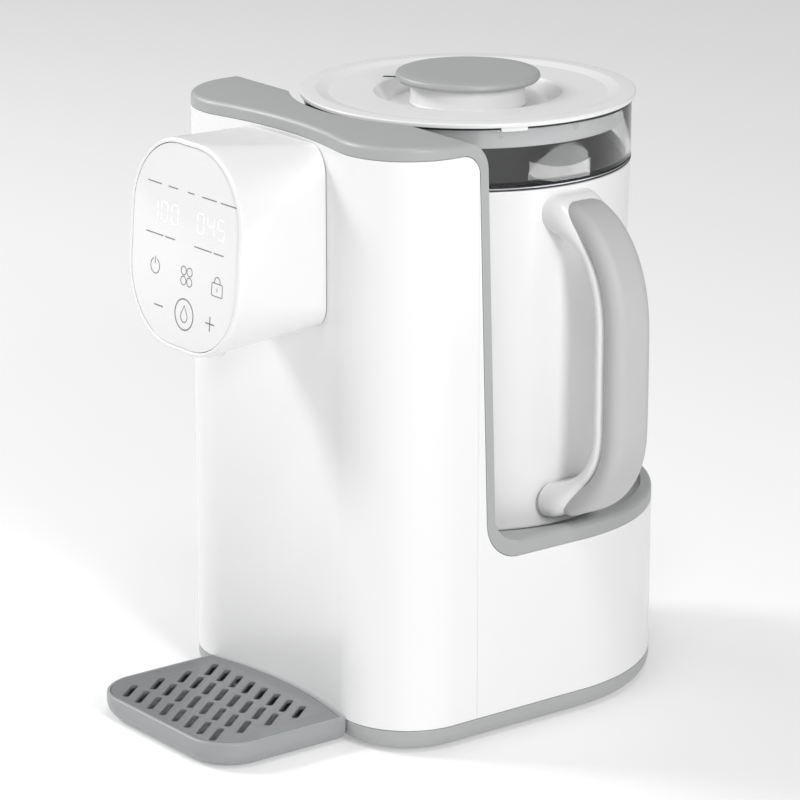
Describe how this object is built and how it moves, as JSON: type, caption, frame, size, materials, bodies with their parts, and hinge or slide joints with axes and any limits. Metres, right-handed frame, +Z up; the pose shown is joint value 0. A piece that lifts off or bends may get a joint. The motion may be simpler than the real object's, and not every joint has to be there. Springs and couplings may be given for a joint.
{
  "type": "formula dispenser",
  "caption": "Countertop water dispenser for baby bottles: heated base and tower, lift-off jug with lid, touch-panel head with spout, drip tray.",
  "frame": {"origin": "centre of the whole object's box, on the table", "axes": "+Z up, -Y out of the touch panel over the drip tray, +X towards the jug's handle"},
  "size_m": [0.224, 0.288, 0.309],
  "materials": {
    "white_abs": "glossy moulded white plastic",
    "panel_gloss": "polished white touch panel",
    "grey_abs": "satin moulded grey plastic",
    "tray_grey": "satin moulded grey plastic",
    "grille_grey": "satin moulded grey plastic",
    "grip_soft": "soft-touch grey overmould",
    "clear_glass": "clear borosilicate glass",
    "frosted_skirt": "translucent plastic",
    "dark_gasket": "dark sealing ring",
    "black_plastic": "moulded black plastic",
    "silicone": "translucent silicone",
    "cast_aluminium": "cast aluminium",
    "steel": "stainless steel",
    "copper_winding": "enamelled copper winding",
    "circuit_board": "green circuit board",
    "foot_rubber": "black rubber"
  },
  "bodies": {
    "machine": {"housing_shell": "white_abs", "cradle": "grey_abs", "tower_back": "grey_abs", "base_pan": "grey_abs", "rubber_foot_1": "foot_rubber", "rubber_foot_2": "foot_rubber", "rubber_foot_3": "foot_rubber", "rubber_foot_4": "foot_rubber", "base_screw_1": "steel", "base_screw_2": "steel", "base_screw_3": "steel", "base_screw_4": "steel", "head_shell": "white_abs", "touch_panel": "panel_gloss", "display_board": "circuit_board", "spout": "white_abs", "heater_plate": "cast_aluminium", "heater_gasket": "silicone", "temperature_probe": "steel", "outlet_socket": "white_abs", "socket_seal": "silicone", "solenoid_coil": "copper_winding", "pump_housing": "black_plastic", "pump_cover": "black_plastic", "pump_motor": "steel", "suction_hose": "silicone", "pressure_hose": "silicone", "power_board": "circuit_board", "mains_inlet": "black_plastic"},
    "plunger": {"valve_plunger": "steel"},
    "impeller": {"pump_impeller": "white_abs"},
    "jug": {"jug_jacket": "white_abs", "jug_collar": "dark_gasket", "jug_glass": "clear_glass", "jug_base_plate": "steel", "valve_seat": "silicone", "handle_spine": "white_abs", "handle_grip": "grip_soft"},
    "poppet": {"valve_poppet": "steel"},
    "lid": {"lid_plate": "white_abs", "lid_seal": "dark_gasket", "lid_skirt": "frosted_skirt", "knob_neck": "white_abs", "knob_cap": "grey_abs"},
    "tray": {"drip_tray": "tray_grey"},
    "grille": {"drip_grille": "grille_grey"}
  },
  "joints": [
    {"name": "jug_lift", "type": "slide", "parent": "machine", "child": "jug", "axis": [0, 0, 1], "range_m": [0, 0.21]},
    {"name": "lid_lift", "type": "slide", "parent": "jug", "child": "lid", "axis": [0, 0, 1], "range_m": [0, 0.08]},
    {"name": "valve_lift", "type": "slide", "parent": "machine", "child": "plunger", "axis": [0, 0, 1], "range_m": [0, 0.003], "stiffness_N_per_m": 200, "springref_m": -0.005},
    {"name": "poppet_lift", "type": "slide", "parent": "jug", "child": "poppet", "axis": [0, 0, 1], "range_m": [0, 0.003], "stiffness_N_per_m": 100, "springref_m": -0.005},
    {"name": "pump_spin", "type": "hinge", "parent": "machine", "child": "impeller", "pos_m": [-0.068, -0.002, 0.02], "axis": [0, 0, 1], "continuous": true},
    {"name": "tray_slide", "type": "slide", "parent": "machine", "child": "tray", "axis": [0, -1, 0], "range_m": [0, 0.09]},
    {"name": "grille_lift", "type": "slide", "parent": "tray", "child": "grille", "axis": [0, 0, 1], "range_m": [0, 0.03]}
  ],
  "couplings": [
    {"joint": "poppet_lift", "follows": "valve_lift", "ratio": 1}
  ]
}
